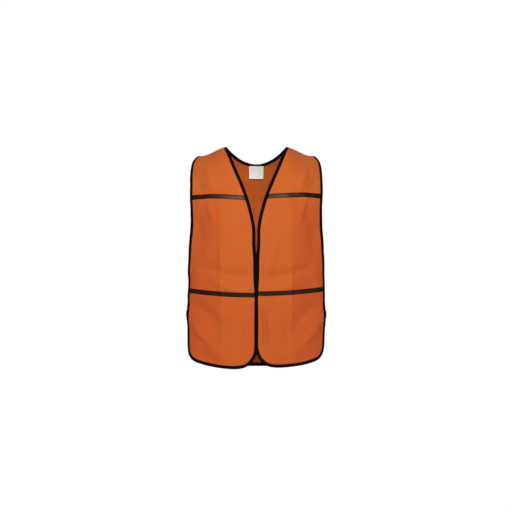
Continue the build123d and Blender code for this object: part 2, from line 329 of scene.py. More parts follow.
def spline(points, count):
    """A natural cubic curve through points, sampled count times."""
    points = np.asarray(points, float)
    gaps = np.linalg.norm(np.diff(points, axis=0), axis=1)
    at = run_of(points)
    n = len(points)
    matrix, right = np.eye(n), np.zeros((n, points.shape[1]))
    for i in range(1, n - 1):
        matrix[i, i - 1 : i + 2] = gaps[i - 1], 2 * (gaps[i - 1] + gaps[i]), gaps[i]
        right[i] = 6 * ((points[i + 1] - points[i]) / gaps[i] - (points[i] - points[i - 1]) / gaps[i - 1])
    bend = np.linalg.solve(matrix, right)
    t = np.linspace(0, at[-1], count)
    i = np.clip(np.searchsorted(at, t, side="right") - 1, 0, n - 2)
    h, a, b = gaps[i][:, None], (at[i + 1] - t)[:, None], (t - at[i])[:, None]
    return (
        (bend[i] * a**3 + bend[i + 1] * b**3) / (6 * h)
        + (points[i] / h - bend[i] * h / 6) * a
        + (points[i + 1] / h - bend[i + 1] * h / 6) * b
    )


def run_of(path):
    """The way along a path to each of its points."""
    return np.concatenate([[0], np.cumsum(np.linalg.norm(np.diff(path, axis=0), axis=1))])


def resample(sheet, x, s, step):
    """Points a step apart over the cloth, along a line of (x, s) samples."""
    path = sheet.place(x, s)
    run = run_of(path)
    count = max(2, int(round(run[-1] / step)) + 1)
    at = np.linspace(0, run[-1], count)
    return np.interp(at, run, x), np.interp(at, run, s), at


class Edge:
    """A line over a sheet, with the direction across it: inwards, on the left of its run."""

    def __init__(self, sheet, x, s, step=EDGE_STEP):
        self.sheet = sheet
        self.x, self.s, self.run = resample(sheet, x, s, step)
        along, down = sheet.slopes(self.x, self.s)
        tangent = unit(np.gradient(sheet.place(self.x, self.s), axis=0))
        inward = unit(np.cross(sheet.facing(along, down), tangent))
        aa, ad, dd = (np.sum(p * q, axis=-1) for p, q in ((along, along), (along, down), (down, down)))
        ia, id_ = np.sum(inward * along, axis=-1), np.sum(inward * down, axis=-1)
        size = aa * dd - ad**2
        self.dx, self.ds = (dd * ia - ad * id_) / size, (aa * id_ - ad * ia) / size

    def backwards(self):
        """The same line and inward directions, run the other way."""
        other = copy.copy(self)
        other.x, other.s, other.dx, other.ds = self.x[::-1], self.s[::-1], self.dx[::-1], self.ds[::-1]
        return other

    def moved(self, distance):
        """The line moved inwards, as (x, s). A seam end stays on the seam."""
        return self.x + self.dx * distance, np.maximum(0.0, self.s + self.ds * distance)

    def place(self, distance, offset):
        x, s = self.moved(distance)
        return self.sheet.place(x, s, offset)


def outline(points, rise=0.0):
    """A front's or the back's outer edge, from shoulder seam to shoulder seam."""
    line = spline(points, 24000) * 0.001
    x, z = line[:, 0], line[:, 1]
    z = z + rise * smooth((z - RISE_TOP) / (CHEST_Z - RISE_TOP))
    inside = np.flatnonzero(z < shoulder_height(x))
    first, last = inside[0], inside[-1]
    x, z = x[first : last + 1], z[first : last + 1]
    s = way_down(x, z)
    s[0], s[-1] = 0.0, 0.0
    return x, s


def both_sides(points):
    return [(-x, z) for x, z in points[:0:-1]] + points


left_sheet = Sheet("left_front", -1, 1, LEFT_FOLDS, True, 11)
right_sheet = Sheet("right_front", -1, -1, RIGHT_FOLDS, False, 23)
back_sheet = Sheet("back", 1, 0, BACK_FOLDS, False, 37)

# ---- Meshes --------------------------------------------------------------------------------


def add_piece(name, parts, smooth_faces=True):
    """One object from (points, faces, weave, material) parts. weave holds each point's place on its
    cloth or tape in metres, which the materials use for threads."""
    points, faces, weave, slots, materials = [], [], [], [], []
    for part_points, part_faces, part_weave, material in parts:
        base = sum(len(p) for p in points)
        points.append(np.reshape(part_points, (-1, 3)))
        weave.append(np.reshape(part_weave, (-1, 2)))
        faces.extend((np.asarray(f) + base).tolist() for f in part_faces)
        if material not in materials:
            materials.append(material)
        slots.extend([materials.index(material)] * len(part_faces))
    mesh = bpy.data.meshes.new(name)
    mesh.from_pydata(np.concatenate(points).tolist(), [], faces)
    for material in materials:
        mesh.materials.append(material)
    mesh.polygons.foreach_set("material_index", slots)
    mesh.polygons.foreach_set("use_smooth", [smooth_faces] * len(faces))
    corner = np.zeros(len(mesh.loops), int)
    mesh.loops.foreach_get("vertex_index", corner)
    layer = mesh.uv_layers.new(name="weave")
    layer.data.foreach_set("uv", np.concatenate(weave)[corner].ravel())
    mesh.update()
    piece = bpy.data.objects.new(name, mesh)
    bpy.context.scene.collection.objects.link(piece)
    return piece


def grid_faces(rows, columns, flip=False, closed=False):
    """Quads of a grid of points, closed across its columns if asked."""
    r = np.arange(rows - 1)[:, None]
    c = np.arange(columns if closed else columns - 1)[None, :]
    after = (c + 1) % columns
    here, below = r * columns, (r + 1) * columns
    quads = np.stack([here + c, below + c, below + after, here + after], -1).reshape(-1, 4)
    return quads[:, ::-1] if flip else quads


def two_faced(outer, inner, weave, material, flip):
    """A thin sheet from its outer and inner grids of points, closed round its rim."""
    rows, columns = outer.shape[:2]
    base = rows * columns
    faces = grid_faces(rows, columns, flip).tolist()
    faces += (grid_faces(rows, columns, not flip) + base).tolist()
    number = np.arange(base).reshape(rows, columns)
    rim = np.concatenate([number[0], number[1:, -1], number[-1, -2::-1], number[-2:0:-1, 0]])
    for a, b in zip(rim, np.roll(rim, -1)):
        quad = [a, b, b + base, a + base]
        faces.append(quad[::-1] if flip else quad)
    points = np.concatenate([outer.reshape(-1, 3), inner.reshape(-1, 3)])
    return points, faces, np.concatenate([weave.reshape(-1, 2)] * 2), material


def swept(rings, run, across, material, flip=False):
    """A solid swept through rings of points, with its ends closed."""
    stations, count = rings.shape[:2]
    faces = grid_faces(stations, count, flip, closed=True).tolist()
    first, last = list(range(count)), list(range((stations - 1) * count, stations * count))
    faces += [first if flip else first[::-1], last[::-1] if flip else last]
    weave = np.stack(np.broadcast_arrays(run[:, None], across[None, :]), axis=-1)
    return rings, faces, weave, material


def stitches(places, directions, up, material, length=STITCH_LENGTH, radius=THREAD):
    """Short rounded lengths of thread, each centred on a place and lying along its direction."""
    sides, stops = 6, [(-0.5, 0.35), (-0.36, 0.95), (0.0, 1.1), (0.36, 0.95), (0.5, 0.35)]
    across = unit(np.cross(directions, up))
    over = np.cross(across, directions)
    turns = 2 * np.pi * np.arange(sides) / sides
    rings = []
    for at, size in stops:
        dip = radius * (0.9 - 3.6 * at**2)
        centre = places + directions * (at * length) + over * dip
        for turn in turns:
            rings.append(centre + (across * math.cos(turn) + over * math.sin(turn)) * (radius * size))
    points = np.stack(rings, axis=1)
    count = len(stops) * sides
    pattern = grid_faces(len(stops), sides, closed=True).tolist()
    ends = [list(range(sides))[::-1], list(range(count - sides, count))]
    faces = []
    for k in range(len(places)):
        faces += [[v + k * count for v in f] for f in pattern + ends]
    weave = np.zeros((len(places) * count, 2))
    return points.reshape(-1, 3), faces, weave, material


def stitch_row(edge, distance, offset, material, pitch=STITCH_PITCH, face=1):
    """A row of stitches along an edge, a distance in from it, on the outer or the inner face."""
    x, s = edge.moved(distance)
    count = int(edge.run[-1] / pitch)
    at = (np.arange(count) + 0.5) * pitch
    x, s = np.interp(at, edge.run, x), np.interp(at, edge.run, s)
    path = edge.sheet.place(x, s, offset)
    along, down = edge.sheet.slopes(x, s)
    return stitches(path, unit(np.gradient(path, axis=0)), edge.sheet.facing(along, down) * face, material)


# ---- Materials -----------------------------------------------------------------------------


class Nodes:
    """A material's node tree, with short calls for the nodes used here."""

    def __init__(self, name):
        self.material = bpy.data.materials.new(name)
        self.material.use_nodes = True
        self.tree = self.material.node_tree
        self.shader = self.tree.nodes["Principled BSDF"]

    def put(self, socket, value):
        if isinstance(value, bpy.types.NodeSocket):
            self.tree.links.new(value, socket)
        else:
            socket.default_value = value

    def math(self, operation, a, b=0.0, c=0.0, clamp=False):
        node = self.tree.nodes.new("ShaderNodeMath")
        node.operation, node.use_clamp = operation, clamp
        for socket, value in zip(node.inputs, (a, b, c)):
            self.put(socket, value)
        return node.outputs[0]

    def ramp(self, value, low, high):
        """0 at low and 1 at high, with a soft start and end."""
        node = self.tree.nodes.new("ShaderNodeMapRange")
        node.interpolation_type = "SMOOTHSTEP"
        for name, number in (("Value", value), ("From Min", low), ("From Max", high)):
            self.put(node.inputs[name], number)
        return node.outputs[0]

    def mix(self, factor, a, b):
        node = self.tree.nodes.new("ShaderNodeMix")
        node.data_type = "RGBA"
        self.put(node.inputs["Factor"], factor)
        self.put(node.inputs[6], a)
        self.put(node.inputs[7], b)
        return node.outputs[2]

    def noise(self, vector, scale, detail=2.0):
        node = self.tree.nodes.new("ShaderNodeTexNoise")
        self.put(node.inputs["Vector"], vector)
        self.put(node.inputs["Scale"], scale)
        self.put(node.inputs["Detail"], detail)
        return node.outputs[0]

    def weave(self):
        """The place on the cloth: (vector, across, down)."""
        node = self.tree.nodes.new("ShaderNodeUVMap")
        node.uv_map = "weave"
        split = self.tree.nodes.new("ShaderNodeSeparateXYZ")
        self.put(split.inputs[0], node.outputs[0])
        return node.outputs[0], split.outputs[0], split.outputs[1]

    def object_place(self):
        return self.tree.nodes.new("ShaderNodeTexCoord").outputs["Object"]

    def bump(self, height, distance, strength=1.0, before=None):
        node = self.tree.nodes.new("ShaderNodeBump")
        self.put(node.inputs["Height"], height)
        self.put(node.inputs["Distance"], distance)
        self.put(node.inputs["Strength"], strength)
        if before is not None:
            self.put(node.inputs["Normal"], before)
        return node.outputs[0]

    def wave(self, place, pitch):
        """A round ridge every pitch, from 0 to 1."""
        turn = self.math("MULTIPLY", place, 2 * math.pi / pitch)
        return self.math("MULTIPLY_ADD", self.math("SINE", turn), 0.5, 0.5)

    def finish(self, **values):
        for name, value in values.items():
            self.put(self.shader.inputs[name.replace("_", " ")], value)
        return self.material


def colour(red, green, blue):
    return (red, green, blue, 1.0)


def orange_mesh():
    """Fluorescent knitted mesh: staggered round holes, ribbed threads between them. The holes are painted
    with a dark shade for the shaded cloth seen through them, and the cloth is a little deeper in colour
    towards the hem and outside the creases that it was folded on: painted shade, where the light falls away."""
    n = Nodes("orange_mesh")
    place, across, down = n.weave()
    near = None
    for shift in (0.0, 0.5):
        squares = []
        for way, pitch in ((across, HOLE_PITCH[0]), (down, HOLE_PITCH[1])):
            cell = n.math("SUBTRACT", n.math("FRACT", n.math("MULTIPLY_ADD", way, 1 / pitch, shift)), 0.5)
            squares.append(n.math("POWER", n.math("ABSOLUTE", n.math("MULTIPLY", cell, pitch / 0.0025)), 2.0))
        far = n.math("SQRT", n.math("ADD", *squares))
        near = far if near is None else n.math("MINIMUM", near, far)
    yarn = n.ramp(near, 0.17, 0.27)
    rib = n.wave(across, RIB_PITCH)
    worn = n.noise(n.object_place(), 9.0, 3.0)
    fibre = n.noise(place, 900.0, 2.0)
    # Painted shade: the cloth is made darker and redder outside the crease on each side and towards the hem,
    # where the light falls away; random wear is mixed in at a fifth of the weight.
    painted_shade = n.ramp(n.math("ABSOLUTE", across), CREASE_ACROSS - 0.004, CREASE_ACROSS + 0.008)
    painted_shade = n.math("MULTIPLY", painted_shade, n.ramp(down, 0.17, 0.26))
    painted_shade = n.math("MAXIMUM", painted_shade, n.math("MULTIPLY", n.ramp(down, 0.40, 0.52), 0.55))
    painted_shade_and_wear = n.math("MULTIPLY_ADD", painted_shade, 0.8, n.math("MULTIPLY", n.ramp(worn, 0.3, 0.7), 0.2))
    lit = n.mix(n.math("MULTIPLY", fibre, 0.3), n.mix(painted_shade_and_wear, *CLOTH_LIT_AND_SHADED), CLOTH_FIBRE)
    height = n.math("MULTIPLY_ADD", rib, 0.25, n.math("MULTIPLY", yarn, 0.75))
    return n.finish(
        # The holes are painted dark: a painted shade for the shaded cloth seen through them.
        Base_Color=n.mix(yarn, CLOTH_HOLE_PAINTED_SHADE, lit),
        Roughness=n.math("MULTIPLY_ADD", fibre, 0.15, 0.7),
        Normal=n.bump(height, 0.0005, 0.8),
        Sheen_Weight=0.04, Sheen_Roughness=0.45, Specular_IOR_Level=0.1,
    )


def ribbed_tape(name, base, raised, rib, rough, shine):
    """Woven tape: ribs across it, with a fine twill over them."""
    n = Nodes(name)
    place, run, over = n.weave()
    ribs = n.wave(run, rib)
    twill = n.wave(n.math("ADD", run, over), 0.0009)
    fibre = n.noise(place, 700.0, 3.0)
    worn = n.noise(n.object_place(), 14.0, 4.0)
    height = n.math("MULTIPLY_ADD", ribs, 0.6, n.math("MULTIPLY", twill, 0.4))
    spun = n.math("MULTIPLY_ADD", height, 0.5, n.math("MULTIPLY", fibre, 0.5))
    return n.finish(
        Base_Color=n.mix(n.math("MULTIPLY", spun, n.ramp(worn, 0.1, 0.8)), base, raised),
        Roughness=n.math("MULTIPLY_ADD", fibre, 0.15, rough),
        Normal=n.bump(height, 0.00012, 0.6),
        Specular_IOR_Level=shine, Specular_Tint=colour(1.0, 0.62, 0.50),
    )


def elastic_weave():
    """Knitted elastic: cords run its length, with small loops across them."""
    n = Nodes("black_elastic")
    place, run, _ = n.weave()
    loops = n.wave(run, 0.0011)
    fibre = n.noise(place, 800.0, 2.0)
    return n.finish(
        Base_Color=n.mix(n.math("MULTIPLY", loops, fibre), *ELASTIC_TONES),
        Roughness=n.math("MULTIPLY_ADD", fibre, 0.2, 0.6),
        Normal=n.bump(loops, 0.00016, 0.7),
        Specular_IOR_Level=0.15,
    )


def fuzz(name, base, tip):
    """The napped face of loop tape, or the base of hook tape."""
    n = Nodes(name)
    nap = n.noise(n.object_place(), 1400.0, 3.0)
    return n.finish(
        Base_Color=n.mix(nap, base, tip),
        Roughness=0.85,
        Normal=n.bump(nap, 0.0004, 0.8),
        Sheen_Weight=0.1, Specular_IOR_Level=0.1,
    )


def thread(name, base, shine):
    """Twisted sewing thread."""
    n = Nodes(name)
    twist = n.noise(n.object_place(), 2600.0, 1.0)
    raised = colour(*(1.5 * part for part in base[:3]))
    return n.finish(
        Base_Color=n.mix(twist, base, raised), Roughness=0.55, Normal=n.bump(twist, 0.0001, 0.5),
        Specular_IOR_Level=shine,
    )


def satin():
    """White label satin: long floats one way, no print."""
    n = Nodes("white_label")
    place, _, over = n.weave()
    floats = n.noise(place, 500.0, 2.0)
    grain = n.wave(over, 0.0005)
    return n.finish(
        Base_Color=n.mix(floats, colour(0.74, 0.73, 0.69), colour(0.84, 0.83, 0.80)),
        Roughness=n.math("MULTIPLY_ADD", floats, 0.2, 0.3),
        Normal=n.bump(grain, 0.00006, 0.6), Anisotropic=0.3, Sheen_Weight=0.1,
    )


HOLE_PITCH = (0.0023, 0.0029)   # across and down
RIB_PITCH = 0.00058
CREASE_ACROSS = 0.097       # from the centre line to the crease, over the cloth
# The cloth's two colours: lit in the middle, and a painted shade for the sides outside a crease and for the
# hem.
CLOTH_LIT_AND_SHADED = (colour(0.59, 0.126, 0.021), colour(0.555, 0.086, 0.019))  # in the middle, beyond a crease
CLOTH_FIBRE = colour(0.66, 0.165, 0.030)
# Painted shade for the holes: the colour of the shaded inside of the cloth seen through them.
CLOTH_HOLE_PAINTED_SHADE = colour(0.28, 0.036, 0.007)

ORANGE = orange_mesh()
BINDING = ribbed_tape(
    "black_binding", colour(0.0018, 0.0009, 0.0008), colour(0.0095, 0.0042, 0.0037), 0.0008, 0.65, 0.04)
TAPE = ribbed_tape(
    "grey_tape", colour(0.003, 0.0011, 0.0008), colour(0.019, 0.0075, 0.0048), 0.0007, 0.31, 0.33)
ELASTIC_TONES = (colour(0.004, 0.004, 0.004), colour(0.02, 0.02, 0.02))
ELASTIC = elastic_weave()
HOOKS = fuzz("hook_base", colour(0.003, 0.003, 0.003), colour(0.014, 0.014, 0.014))
LOOPS = fuzz("loop_nap", colour(0.005, 0.005, 0.005), colour(0.024, 0.022, 0.022))
BLACK_THREAD = thread("black_thread", colour(0.004, 0.0035, 0.0035), 0.15)
ORANGE_THREAD = thread("orange_thread", colour(0.62, 0.10, 0.016), 0.3)
LABEL = satin()

# ---- Panels --------------------------------------------------------------------------------


def even(line, count):
    """A line's points, moved to lie evenly along it."""
    run = run_of(line)
    at = np.linspace(0, run[-1], count)
    return np.stack([np.interp(at, run, line[:, 0]), np.interp(at, run, line[:, 1])], axis=-1)


def patch(top, bottom, left, right, rows, columns):
    """A grid of (x, s) between four lines of (x, s), each an array of points. top and bottom run
    from left to right, and left and right run downwards."""
    a = np.linspace(0, 1, columns)[None, :, None]
    b = np.linspace(0, 1, rows)[:, None, None]
    t, u = even(top, columns)[None], even(bottom, columns)[None]
    l, r = even(left, rows)[:, None], even(right, rows)[:, None]
    upper = (1 - a) * l[0, 0] + a * r[0, 0]
    lower = (1 - a) * l[-1, 0] + a * r[-1, 0]
    return (1 - b) * (t - upper) + b * (u - lower) + (1 - a) * l + a * r


def weave_of(sheet, x, s):
    """Place on the flat cloth: distance from the centre line round the chest, and down from the seam."""
    grid = np.linspace(-0.2, 0.2, 801)
    slope = np.gradient(depth(grid, CHEST_Z, sheet.full), grid)
    round_it = np.cumsum(np.sqrt(1 + slope**2)) * (grid[1] - grid[0])
    return np.stack([np.interp(x, grid, round_it - np.interp(0, grid, round_it)), s], axis=-1)


def corners_of(line):
    """Indexes of a line's lower corners, towards low x and towards high x: where it runs at 45 degrees."""
    return int(np.argmax(line[:, 1] - line[:, 0])), int(np.argmax(line[:, 1] + line[:, 0]))


def panel_part(sheet, grid):
    x, s = grid[..., 0], np.maximum(0.0, grid[..., 1])
    outer, inner = sheet.place(x, s, CLOTH), sheet.place(x, s, 0.0)
    return two_faced(outer, inner, weave_of(sheet, x, s), ORANGE, flip=sheet.way * sheet.hand > 0)


def panel_grid(sheet, line, top, rows, columns):
    """A panel's grid of (x, s). line runs from one shoulder seam down, along the hem and up again, and
    top runs straight between its ends, both towards higher x once mirrored to the wearer's left."""
    first, second = corners_of(line)
    grid = patch(top, line[first : second + 1], line[: first + 1], line[second:][::-1], rows, columns)
    return grid * [sheet.hand, 1]


# ---- Bindings, tapes and thread ------------------------------------------------------------

# The folded tape's section: (distance in from the edge, offset from the cloth's inner face), from its
# inner layer's free edge round the fold to its outer layer's free edge, and back along the inside.
OUT = CLOTH + SLACK
FOLDED = [
    (1.0, -SLACK - 0.75 * BINDING_WALL), (0.985, -SLACK - BINDING_WALL), (0.80, -SLACK - BINDING_WALL),
    (0.50, -SLACK - 1.1 * BINDING_WALL), (0.22, -SLACK - 1.1 * BINDING_WALL),
    (0.08, -SLACK - 0.8 * BINDING_WALL),
    (0.015, -0.0001), (0.0, 0.0004), (0.015, 0.0010),
    (0.08, OUT + 0.9 * BINDING_WALL), (0.22, OUT + 1.25 * BINDING_WALL), (0.50, OUT + 1.3 * BINDING_WALL),
    (0.74, OUT + 1.1 * BINDING_WALL), (0.83, OUT + 0.85 * BINDING_WALL), (0.92, OUT + BINDING_WALL),
    (0.985, OUT + BINDING_WALL), (1.0, OUT + 0.6 * BINDING_WALL), (0.985, OUT),
    (0.5, OUT), (0.12, OUT), (0.09, 0.0004), (0.12, -SLACK), (0.5, -SLACK), (0.985, -SLACK),
]


def binding_part(edge):
    """A folded tape along an edge, drawn down a little at each stitch."""
    rings = []
    pull = 0.00006 * np.cos(2 * np.pi * edge.run / STITCH_PITCH)
    ease = 0.00018 * np.sin(2 * np.pi * edge.run / 0.019 + 1.3) * np.sin(2 * np.pi * edge.run / 0.047)
    for inwards, offset in FOLDED:
        lift = offset + (pull * (0.6 < inwards < 0.95) + ease * (1 - inwards)) * (1 if offset > OUT else 0)
        rings.append(edge.place(inwards * BINDING_WIDTH, lift))
    across = np.cumsum([0.0] + [math.dist(a, b) * BINDING_WIDTH for a, b in zip(FOLDED, FOLDED[1:])])
    return swept(np.stack(rings, axis=1), edge.run, across, BINDING)


def binding_seams(edge):
    """The lockstitch that holds a binding, on both faces."""
    distance = BINDING_WIDTH - STITCH_IN
    return [
        stitch_row(edge, distance, OUT + BINDING_WALL, BLACK_THREAD),
        stitch_row(edge, distance, -SLACK - BINDING_WALL, BLACK_THREAD, face=-1),
    ]


def tape_piece(name, sheet, line, low, high, rise=0.0):
    """A flat tape over a sheet, with a row of stitches along each edge. low and high give x of the
    tape's ends at a height, on the wearer's left."""
    centre = spline(line, 400) * 0.001
    count = int((high(centre[:, 1].mean()) - low(centre[:, 1].mean())) / 0.0022)

    def row(share, trim=0.0):
        """The tape's line at a share of its width up from its middle, as (x, s) on the sheet."""
        def height(x):
            return np.interp(x, centre[:, 0], centre[:, 1]) + rise + share * TAPE_WIDTH

        start, stop = low(height(0.1)), high(height(0.1))
        for _ in range(4):
            start, stop = low(height(start)), high(height(stop))
        x = np.linspace(start + trim, stop - trim, count)
        return x * sheet.hand, way_down(x, height(x))

    outer, inner, weave = [], [], []
    for share in (-0.5, -0.46, -0.3, -0.1, 0.1, 0.3, 0.46, 0.5):
        x, s = row(share)
        outer.append(sheet.place(x, s, OUT + TAPE_THICK * (0.7 if abs(share) == 0.5 else 1.0)))
        inner.append(sheet.place(x, s, OUT - SLACK / 2))
        weave.append(np.stack([x, np.full_like(x, share * TAPE_WIDTH)], axis=-1))
    flip = sheet.way * sheet.hand < 0
    parts = [two_faced(np.stack(outer), np.stack(inner), np.stack(weave), TAPE, flip)]
    for share in (-0.5 + STITCH_IN / TAPE_WIDTH, 0.5 - STITCH_IN / TAPE_WIDTH):
        seam = Edge(sheet, *row(share, trim=0.001), 0.002)
        parts.append(stitch_row(seam, 0.0, OUT + TAPE_THICK, BLACK_THREAD))
        parts.append(stitch_row(seam, 0.0, 0.0, BLACK_THREAD, face=-1))
    return add_piece(name, parts)


def ends_between(edge):
    """Where tapes end on a panel, on the wearer's left: x of the binding's inner edge at a height,
    towards the centre and towards the side. edge starts at the neck."""
    x, s = edge.moved(BINDING_WIDTH - 0.0004)
    z, x = level(x, s), x * edge.sheet.hand
    lowest = int(np.argmin(z))

    def centre(height):
        return np.interp(height, z[lowest::-1], x[lowest::-1])

    def side(height):
        return np.interp(height, z[lowest:], x[lowest:])

    return centre, side


def flat_band(sheet, xs, heights, inner, outer, material):
    """A flat piece over or under a sheet between rows of heights, with the corners of a rectangle."""
    x, z = np.meshgrid(xs, heights)
    s = way_down(x, z)
    near, far = sheet.place(x, s, inner), sheet.place(x, s, outer)
    return two_faced(far, near, np.stack([x, z], axis=-1), material, flip=sheet.way > 0)


def closure_seam(sheet, x, offset, face):
    """A row of stitches down the closure, at x."""
    z = np.linspace(CLOSURE_TOP - STITCH_IN, CLOSURE_TOP - CLOSURE_LENGTH + STITCH_IN, 30)
    row = Edge(sheet, np.full(30, x), way_down(np.full(30, x), z), 0.003)
    return stitch_row(row, 0.0, offset, BLACK_THREAD, face=face)


def loop_piece():
    """Loop tape inside the left front's edge, sewn down both its sides."""
    heights = np.linspace(CLOSURE_TOP, CLOSURE_TOP - CLOSURE_LENGTH, 44)
    band = flat_band(left_sheet, np.linspace(*LOOP_SPAN, 8), heights, UNDER - CLOSURE_THICK, UNDER, LOOPS)
    near, far = LOOP_SPAN[0] + STRIP_SEAM, LOOP_SPAN[1] - STRIP_SEAM
    seams = [closure_seam(left_sheet, x, UNDER - CLOSURE_THICK, -1) for x in (near, far)]
    seams.append(closure_seam(left_sheet, far, CLOTH, 1))
    piece = add_piece("loop_strip", [band] + seams)
    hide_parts("left_front_loop_tape")
    return piece


def hook_piece():
    """Hook tape sewn under the right front's edge, with its hooks on the half that stands free."""
    heights = np.linspace(CLOSURE_TOP, CLOSURE_TOP - CLOSURE_LENGTH, 44)
    xs = np.linspace(*HOOK_SPAN, 14)
    face = UNDER + HOOK_STEP * smooth((xs - HOOK_TURN[0]) / (HOOK_TURN[1] - HOOK_TURN[0]))
    band = flat_band(right_sheet, xs, heights, face - CLOSURE_THICK, face, HOOKS)
    columns, rows = np.arange(HOOK_TURN[1], HOOK_SPAN[1], 0.0012), np.arange(heights[0], heights[-1], -0.0016)
    x, z = (grid.ravel() for grid in np.meshgrid(columns, rows - 0.0008))
    s = way_down(x, z)
    along, down = right_sheet.slopes(x, s)
    out = right_sheet.facing(along, down)
    feet = right_sheet.place(x, s, UNDER + HOOK_STEP) + out * 0.0001
    hooks = stitches(feet, unit(out + unit(along) * 0.5), unit(along), HOOKS, 0.0009, 0.00016)
    lines = HOOK_SPAN[0] + STRIP_SEAM, -0.001
    seams = [closure_seam(right_sheet, x, UNDER - CLOSURE_THICK, -1) for x in lines]
    piece = add_piece("hook_strip", [band, hooks] + seams)
    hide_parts("right_front_hook_tape")
    return piece


def tilt(x, z, full):
    """Cosine of the angle by which the form turns sideways at (x, z)."""
    return 1 / math.hypot(1, (depth(x + 0.0005, z, full) - depth(x - 0.0005, z, full)) / 0.001)


def elastic_end(way, full):
    """Start of the elastic's middle line, its direction, and the corner where it turns back."""
    under = ELASTIC_THICK / 2 - UNDER
    points = []
    for x in (ELASTIC_EDGE - ELASTIC_SEWN * tilt(ELASTIC_EDGE, ELASTIC_Z, full), ELASTIC_EDGE):
        turn = tilt(x, ELASTIC_Z, full)
        y = depth(x, ELASTIC_Z, full) - under * turn
        points.append(np.array([x - under * math.sqrt(1 - turn**2), way * y]))
    start, at_edge = points
    along = unit(at_edge - start)
    return start, along, start + along * ((ELASTIC_BULGE - ELASTIC_THICK / 2 - start[0]) / along[0])


def rounded(points, radius, step):
    """A path through 2-D points with its corners rounded, sampled about a step apart."""
    path = [points[0]]
    for before, corner, after in zip(points, points[1:], points[2:]):
        back, on = unit(before - corner), unit(after - corner)
        half = math.acos(float(np.clip(back @ on, -1, 1))) / 2
        centre = corner + unit(back + on) * (radius / math.sin(half))
        start, end = corner + back * (radius / math.tan(half)), corner + on * (radius / math.tan(half))
        for t in np.linspace(0, 1, 9):
            chord = start + (end - start) * t - centre
            path.append(centre + unit(chord) * radius)
    path.append(points[-1])
    path = np.array(path)
    run = run_of(path)
    at = np.linspace(0, run[-1], int(run[-1] / step))
    return np.stack([np.interp(at, run, path[:, k]) for k in (0, 1)], axis=-1), at


def elastic_pieces(side, name):
    """The elastic on one side, with cords along it, its hems and the bar tacks at its two ends."""
    ends = [elastic_end(-1, FRONT_DEPTH), elastic_end(1, BACK_DEPTH)]
    (front, _, front_corner), (back, _, back_corner) = ends
    path, run = rounded([front, front_corner, back_corner, back], ELASTIC_TURN, 0.0012)
    ahead = unit(np.gradient(path, axis=0))
    outward = np.stack([ahead[:, 1], -ahead[:, 0]], axis=-1)
    cords = 16
    share = np.linspace(-0.5, 0.5, cords * 8 + 1)
    ridge = np.abs(np.sin(np.pi * cords * (share + 0.5))) ** 0.7
    free = smooth((run - 0.016) / 0.012) * smooth((run[-1] - 0.016 - run) / 0.012)
    sag = 0.0012 * free * np.sin(np.pi * run / run[-1])
    rings = []
    for face in (1, -1):
        for h, lift in zip(share[::face], ridge[::face]):
            off = face * (ELASTIC_THICK / 2 - 0.00022 + 0.00022 * lift) * (0.7 if abs(h) > 0.495 else 1.0)
            curl = 0.0006 * free * (4 * h * h - 0.5)
            place = path + outward * off - outward * curl[:, None]
            height = ELASTIC_Z + h * ELASTIC_WIDTH * (1 - 0.05 * free) - sag
            rings.append(np.stack([place[:, 0] * side, place[:, 1], height], axis=-1))
    across = np.concatenate([share, share[::-1]]) * ELASTIC_WIDTH
    band = swept(np.stack(rings, axis=1), run, across, ELASTIC, side > 0)
    strap = add_piece(f"{name}_elastic_strap", [band])
    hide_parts(f"{name}_side_elastic")
    tacks = []
    for (start, along, _), way, where in zip(ends, (-1, 1), ("front", "back")):
        inwards = np.array([along[1], -along[0]]) * way
        height = np.linspace(-TACK_HALF, TACK_HALF, 24)
        places, directions = [], []
        for k, h in enumerate(height):
            at = start + along * (ELASTIC_SEWN / 2) + inwards * (ELASTIC_THICK / 2 + 0.0003)
            lean = 0.18 if k % 2 else -0.18
            places.append((at[0] * side, at[1], ELASTIC_Z + h))
            directions.append((along[0] * side, along[1], lean))
        up = np.array([inwards[0] * side, inwards[1], 0.0])
        part = stitches(np.array(places), unit(np.array(directions)), up, BLACK_THREAD, 0.0026, 0.00034)
        tack = add_piece(f"{name}_{where}_tack", [part])
        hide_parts(f"{name}_elastic_{where}_bartack")
        tacks.append(tack)
    return strap, *tacks


def shoulder_piece(side, name):
    """Seam allowance under a shoulder seam, overlocked, and topstitched through the back panel."""
    xs = np.linspace(SEAM_SPAN[0] - 0.010, SEAM_SPAN[1] + 0.004, 40) * side
    heights = np.linspace(0.0003, SEAM_WIDTH, 8)
    x, s = np.meshgrid(xs, heights / SEAM_SCALE)
    ease = 0.0003 * np.sin(x * 800) * (s / s.max())
    near = back_sheet.place(x, s, UNDER - CLOTH + ease)
    far = back_sheet.place(x, s, UNDER + ease)
    parts = [two_faced(far, near, weave_of(back_sheet, x, s), ORANGE, flip=side > 0)]
    topstitch = Edge(back_sheet, xs, np.full_like(xs, 0.004), 0.002)
    parts.append(stitch_row(topstitch, 0.0, CLOTH, ORANGE_THREAD))
    parts.append(stitch_row(topstitch, 0.0, UNDER - CLOTH, ORANGE_THREAD, face=-1))
    lock = Edge(back_sheet, xs, np.full_like(xs, (SEAM_WIDTH - 0.0012) / SEAM_SCALE), 0.001)
    places = lock.place(0.0, UNDER - CLOTH - 0.0001)
    along, down = back_sheet.slopes(lock.x, lock.s)
    lean = unit(unit(down) + 0.5 * unit(along) * np.where(np.arange(len(lock.x)) % 2, 1, -1)[:, None])
    parts.append(stitches(places, lean, -back_sheet.facing(along, down), ORANGE_THREAD, 0.0030, 0.0002))
    piece = add_piece(f"{name}_shoulder_allowance", parts)
    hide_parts(f"{name}_shoulder_seam")
    return piece


